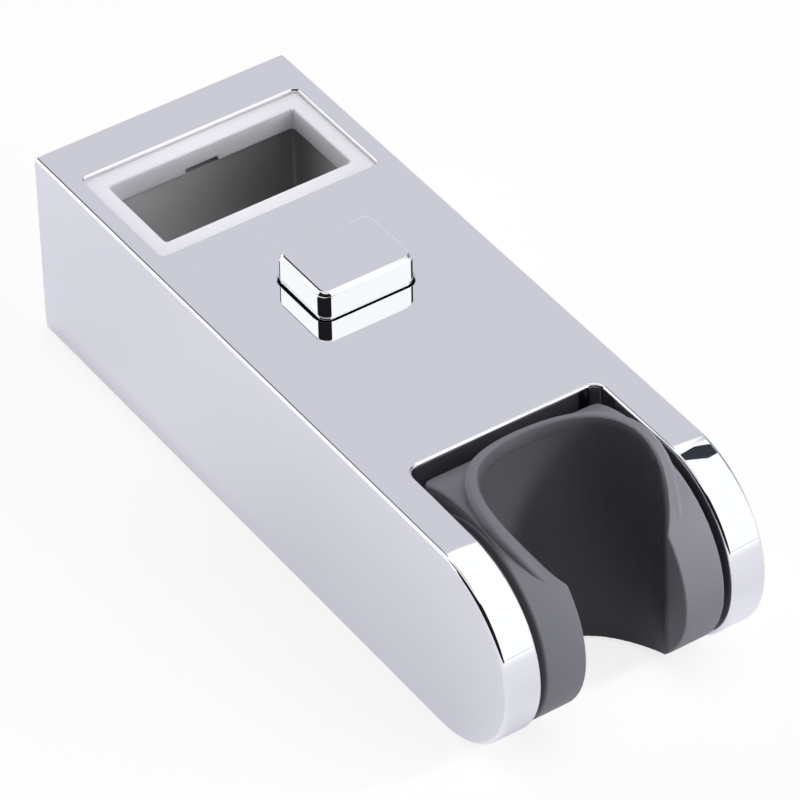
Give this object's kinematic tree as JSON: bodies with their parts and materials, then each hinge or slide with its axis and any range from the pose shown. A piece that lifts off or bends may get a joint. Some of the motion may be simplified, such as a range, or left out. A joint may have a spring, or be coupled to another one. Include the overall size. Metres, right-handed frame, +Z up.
{
  "type": "shower rail slider",
  "caption": "Rectangular chrome slider for a flat shower rail, with a push button that frees a sprung brake pad and a forked end that carries a tilting grey handset cradle.",
  "frame": {"origin": "centre of the rail passage at the underside of the body", "axes": "+Z runs up the rail, +Y points from the cradle to the rail and on to the wall, +X is to the right seen from the cradle"},
  "size_m": [0.0442, 0.1219, 0.0372],
  "materials": {
    "chrome_plate": "polished chrome plate on moulded plastic",
    "grey_plastic": "fine satin moulded plastic",
    "white_plastic": "smooth natural moulded plastic",
    "dark_plastic": "plain moulded plastic",
    "acetal": "slick moulded acetal",
    "brake_rubber": "plain moulded rubber",
    "spring_steel": "bright drawn steel"
  },
  "bodies": {
    "root": {"body_shell": "chrome_plate", "bottom_cover": "chrome_plate", "cover_screw_1": "spring_steel", "cover_screw_2": "spring_steel", "cover_screw_3": "spring_steel", "cover_screw_4": "spring_steel", "upper_rail_guide": "white_plastic", "lower_rail_guide": "white_plastic", "inner_frame": "dark_plastic", "frame_screw_left": "spring_steel", "frame_screw_right": "spring_steel", "button_spring": "spring_steel", "brake_spring_left": "spring_steel", "brake_spring_right": "spring_steel", "pivot_bush_left": "acetal", "pivot_bush_right": "acetal", "friction_washer_left": "spring_steel", "friction_washer_right": "spring_steel"},
    "button": {"release_button": "chrome_plate", "button_plunger": "acetal", "button_screw": "spring_steel"},
    "brake": {"brake_block": "acetal", "cam_pin_left": "spring_steel", "cam_pin_right": "spring_steel", "brake_pad": "brake_rubber"},
    "cradle": {"cradle": "grey_plastic"}
  },
  "joints": [
    {"name": "button_press", "type": "slide", "parent": "root", "child": "button", "axis": [0, 0, -1], "range_m": [0, 0.003], "stiffness_N_per_m": 800, "springref_m": -0.00125, "deforming": ["button_spring"]},
    {"name": "brake_release", "type": "slide", "parent": "root", "child": "brake", "axis": [0, -1, 0], "range_m": [0, 0.0012], "stiffness_N_per_m": 2400, "springref_m": -0.0015, "deforming": ["brake_spring_left", "brake_spring_right"]},
    {"name": "cradle_tilt", "type": "hinge", "parent": "root", "child": "cradle", "pos_m": [0, -0.0862, 0.01625], "axis": [1, 0, 0], "range_deg": [-5, 45]}
  ],
  "couplings": [
    {"joint": "brake_release", "follows": "button_press", "ratio": 0.4}
  ]
}
